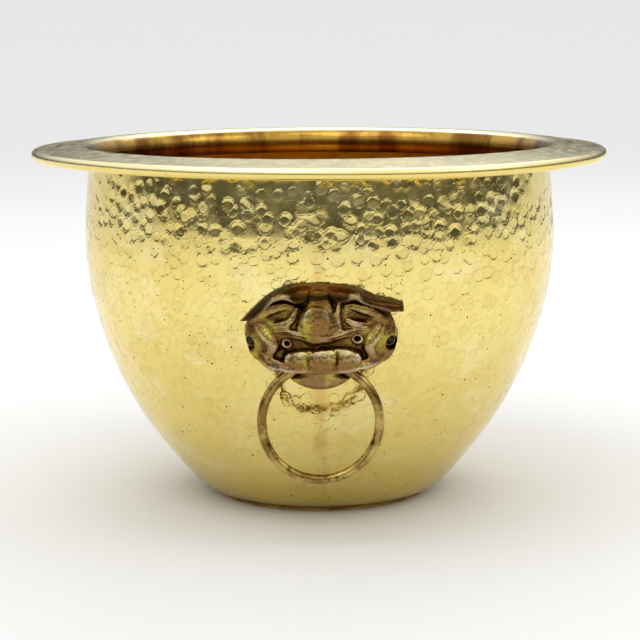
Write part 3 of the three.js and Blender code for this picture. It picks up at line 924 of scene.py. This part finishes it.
def lion_masks(material):
    step = 0.5
    profile = spline_through(outer_profile(), 2)
    field, low, (x, z, relief, band, lit) = mask_field(step, profile)
    points, quads = surface_nets(field, low, step)
    points = relaxed(points, quads, 2)
    ground = np.maximum(relief, 9)
    proud = blurred(ground, 1) - blurred(blurred(ground, 7), 5)
    # Rubbed wear on proud parts, which also stands for their painted highlight, and the painted line along
    # the brow band's lower edge both raise this value.
    wear_and_painted_highlight = 0.45 + 0.22 * proud + 0.5 * lit
    worn = np.clip(sampled(wear_and_painted_highlight, x, z, points[:, 0], points[:, 2]), 0, 1)
    banded = sampled(blurred(band, 1), x, z, points[:, 0], points[:, 2])
    # The jaw under the face is worn evenly by the ring.
    jaw = (points[:, 2] < 103.4) & (points[:, 1] < CHIN_OUT + 0.5)
    worn[jaw] = 0.58
    banded[jaw] = 0
    points[:, 1] *= -1
    quads = quads[:, ::-1]
    for end, turn in ENDS.items():
        c, s = math.cos(turn), math.sin(turn)
        placed = points @ np.array([[c, s, 0], [-s, c, 0], [0, 0, 1]])
        piece = make_piece(f"mask_{end}", placed, quads.tolist(), "pot", [material])
        # The "relief" value is wear and painted highlight together.
        add_values(piece, "relief", worn)
        add_values(piece, "band", banded)
        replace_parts(piece, f"lion_mask_{end}")


# ---------------------------------------------------------------- rings and rivets

def ring_handles(material):
    """Hand-bent rings: the rod is a little uneven, with the joint of its ends at the lower left."""
    steps, sides = 200, 28
    angle = np.arange(steps) * 2 * math.pi / steps
    joint = math.radians(222)
    for end, turn in ENDS.items():
        random = np.random.RandomState(SEED + 2)
        radius = RING_RADIUS + 0.10 * np.sin(2 * angle + 0.4) + 0.08 * np.sin(3 * angle + 1.1)
        rod = WIRE_RADIUS - 0.10 + 0.05 * np.sin(5 * angle + random.uniform(0, 6)) \
            + 0.03 * np.sin(11 * angle + random.uniform(0, 6))
        off = (angle - joint + math.pi) % (2 * math.pi) - math.pi
        rod = rod - 0.55 * np.exp(-(off / 0.012) ** 2) - 0.12 * np.exp(-((off - 0.06) / 0.05) ** 2)
        around = np.arange(sides) * 2 * math.pi / sides
        flat = 1 - 0.04 * np.cos(2 * around)[None, :]
        out = radius[:, None] + rod[:, None] * flat * np.cos(around)[None, :]
        y = rod[:, None] * flat * np.sin(around)[None, :]
        x, z = out * np.cos(angle)[:, None], out * np.sin(angle)[:, None]
        points = np.stack([x, y - PIVOT_OUT, z + PIVOT_Z - RING_RADIUS], 2).reshape(-1, 3)
        c, s = math.cos(turn), math.sin(turn)
        placed = points @ np.array([[c, s, 0], [-s, c, 0], [0, 0, 1]])
        faces = [list(reversed(q)) for q in grid_quads(steps, sides, True)]
        piece = make_piece(f"ring_{end}", placed, faces, f"{end}_ring", [material])
        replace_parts(piece, f"ring_handle_{end}")


def lathe_about(name, outline, place, node, material, steps=40):
    """A closed outline turned about the local Z of a place."""
    points, faces = turned(np.array(outline, float), steps)
    points = np.array([place @ Vector(p) for p in points])
    piece = make_piece(name, points, faces, "pot", [material])
    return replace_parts(piece, node)


def rivets_and_burrs(iron, brass):
    """Each rivet from its domed head to its hammered tail, and the washer under the tail."""
    seat = CHEEK_LAND + 2 * GAP
    burr_top = -SHEET - GAP - FACET_SAG
    tail = burr_top - SHEET - GAP
    axis_gap = 0.02
    dome = [(RIVET_HEAD * math.cos(a), seat + 0.35 + 1.4 * math.sin(a)) for a in np.linspace(0, 1.55, 9)]
    bottom = [(RIVET_TAIL * math.cos(a), tail - 0.2 - 1.0 * math.sin(a)) for a in np.linspace(1.55, 0, 7)]
    rivet = [*bottom, (RIVET_TAIL, tail), (RIVET_SHANK, tail), (RIVET_SHANK, seat),
             (RIVET_HEAD, seat), *dome]
    rivet = [(max(out, axis_gap), z) for out, z in rivet]
    hole, edge = RIVET_SHANK + GAP, WASHER_RADIUS - 0.2
    under = burr_top - SHEET
    burr = [(hole, under), (edge, under), (WASHER_RADIUS, under + 0.25),
            (WASHER_RADIUS, burr_top - 0.2), (edge, burr_top), (hole, burr_top)]
    for end, turn in ENDS.items():
        for hand, side in zip(HANDS, (-1, 1)):
            place = Matrix.Rotation(turn, 4, "Z") @ rivet_place(side)
            tag = f"{end}_{hand}"
            lathe_about(f"rivet_head_{tag}", rivet[::-1], place, f"rivet_{tag}", iron)
            lathe_about(f"washer_{tag}", burr[::-1], place, f"burr_{tag}", brass)


def base_disc(material):
    """The floor of the pot: a disc with a stepped middle and softly rounded edges."""
    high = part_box("base_disc")[1] / MM
    radius, floor = high.x, FLOOR_RADIUS
    half = SHEET / 2
    edge = arc(radius - half, half, half, -math.pi / 2, math.pi / 2, 8)
    step = [(floor + 0.4, SHEET), (floor, SHEET + 0.3), (floor - 0.3, high.z - 0.1), (floor - 0.9, high.z)]
    rings = [(out, high.z) for out in (40, 20, 0.5)]
    under = [(out, 0) for out in (0.5, 20, 45)]
    outline = np.array([*under, *edge, *step, *rings])
    points, faces = turned(outline[::-1], 120)
    piece = make_piece("floor_disc", points, faces, "pot", [material])
    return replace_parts(piece, "base_disc")


# ---------------------------------------------------------------- the studio

CAMERA_AT = (0, -1.150, 0.2969)
CAMERA_TILT = math.radians(80.636)
CAMERA_ROLL = math.radians(-0.358)
FOCAL_LENGTH = 102.09
FLOOR_SIZE = 200.0
FLOOR_DROP = 0.0002
FLOOR_COLOUR = (0.84, 0.84, 0.84, 1)
FLOOR_ROUGHNESS = 0.9
# The light round the object is even in every heading: dim at eye level and bright overhead.
EYE_LEVEL = (0.06, 0.06, 0.06, 1)
OVERHEAD = (1.08, 1.08, 1.08, 1)
OVERHEAD_FROM = 0.60
BACKGROUND = (0.80, 0.80, 0.80, 1)


def camera():
    data = bpy.data.cameras.new("photo_camera")
    data.lens = FOCAL_LENGTH
    data.sensor_width = 36
    eye = bpy.data.objects.new("photo_camera", data)
    turn = Matrix.Rotation(CAMERA_TILT, 4, "X") @ Matrix.Rotation(CAMERA_ROLL, 4, "Z")
    eye.matrix_world = Matrix.Translation(CAMERA_AT) @ turn
    bpy.context.scene.collection.objects.link(eye)
    bpy.context.scene.camera = eye


def studio_floor():
    """A plain pale floor, the same to the camera and to everything that mirrors it."""
    mesh = bpy.data.meshes.new("studio_floor")
    size = FLOOR_SIZE
    corners = [(-size, -size, 0), (size, -size, 0), (size, size, 0), (-size, size, 0)]
    mesh.from_pydata(corners, [], [(0, 1, 2, 3)])
    floor = bpy.data.objects.new("studio_floor", mesh)
    floor.location.z = -FLOOR_DROP
    bpy.context.scene.collection.objects.link(floor)
    material = bpy.data.materials.new("studio_floor")
    material.use_nodes = True
    shader = material.node_tree.nodes["Principled BSDF"]
    shader.inputs["Base Color"].default_value = FLOOR_COLOUR
    shader.inputs["Roughness"].default_value = FLOOR_ROUGHNESS
    mesh.materials.append(material)


def softbox(name, place, target, size, power, colour=(1, 1, 1)):
    data = bpy.data.lights.new(name, "AREA")
    data.shape = "RECTANGLE"
    data.size, data.size_y = size
    data.energy = power
    data.color = colour
    lamp = bpy.data.objects.new(name, data)
    lamp.location = place
    lamp.rotation_euler = (Vector(target) - Vector(place)).to_track_quat("-Z", "Y").to_euler()
    bpy.context.scene.collection.objects.link(lamp)


def soft_surround():
    """Plain neutral light from all round, brighter overhead, behind a plain pale background."""
    world = bpy.data.worlds.new("studio")
    bpy.context.scene.world = world
    world.use_nodes = True
    nodes, links = world.node_tree.nodes, world.node_tree.links
    nodes.clear()
    ray = nodes.new("ShaderNodeTexCoord")
    parts = nodes.new("ShaderNodeSeparateXYZ")
    links.new(ray.outputs["Generated"], parts.inputs[0])
    rise = nodes.new("ShaderNodeMapRange")
    rise.interpolation_type = "SMOOTHSTEP"
    rise.inputs["From Max"].default_value = OVERHEAD_FROM
    links.new(parts.outputs["Z"], rise.inputs["Value"])
    light = nodes.new("ShaderNodeMix")
    light.data_type = "RGBA"
    light.inputs[6].default_value = EYE_LEVEL
    light.inputs[7].default_value = OVERHEAD
    links.new(rise.outputs[0], light.inputs[0])
    around = nodes.new("ShaderNodeBackground")
    links.new(light.outputs[2], around.inputs["Color"])
    plain = nodes.new("ShaderNodeBackground")
    plain.inputs["Color"].default_value = BACKGROUND
    path = nodes.new("ShaderNodeLightPath")
    mix = nodes.new("ShaderNodeMixShader")
    links.new(path.outputs["Is Camera Ray"], mix.inputs[0])
    links.new(around.outputs[0], mix.inputs[1])
    links.new(plain.outputs[0], mix.inputs[2])
    output = nodes.new("ShaderNodeOutputWorld")
    links.new(mix.outputs[0], output.inputs["Surface"])


def studio():
    camera()
    studio_floor()
    soft_surround()
    middle = (0, 0, 0.1)
    softbox("key_softbox", (-0.5, -0.5, 1.9), middle, (1.4, 1.2), 7)
    softbox("fill_softbox", (1.3, -0.4, 1.5), middle, (0.9, 0.9), 3)
    softbox("back_softbox", (0.2, 1.3, 1.6), middle, (1.6, 0.9), 6)
    bpy.context.scene.view_settings.view_transform = "Standard"


studio()
finishes = {
    "hammered": hammered_brass(),
    "inside": inside_brass(),
    "polished": polished_brass(),
    "mask": mask_bronze(),
    "ring": ring_brass(),
    "iron": rivet_iron(),
    "burr": plain_brass("burr_brass", (0.62, 0.42, 0.13), (0.28, 0.16, 0.05), 0.34),
    "base": plain_brass("base_brass", (0.66, 0.44, 0.13), (0.32, 0.17, 0.04), 0.34),
    "wire": plain_brass("rim_wire", (0.45, 0.42, 0.36), (0.28, 0.26, 0.22), 0.38),
}
pot_wall([finishes["hammered"], finishes["inside"]])
rim_flange(finishes["polished"])
base_disc(finishes["base"])
lion_masks(finishes["mask"])
ring_handles(finishes["ring"])
rivets_and_burrs(finishes["iron"], finishes["burr"])
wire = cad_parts["rim_wire"]
for index in range(len(wire.material_slots)):
    wire.material_slots[index].material = finishes["wire"]
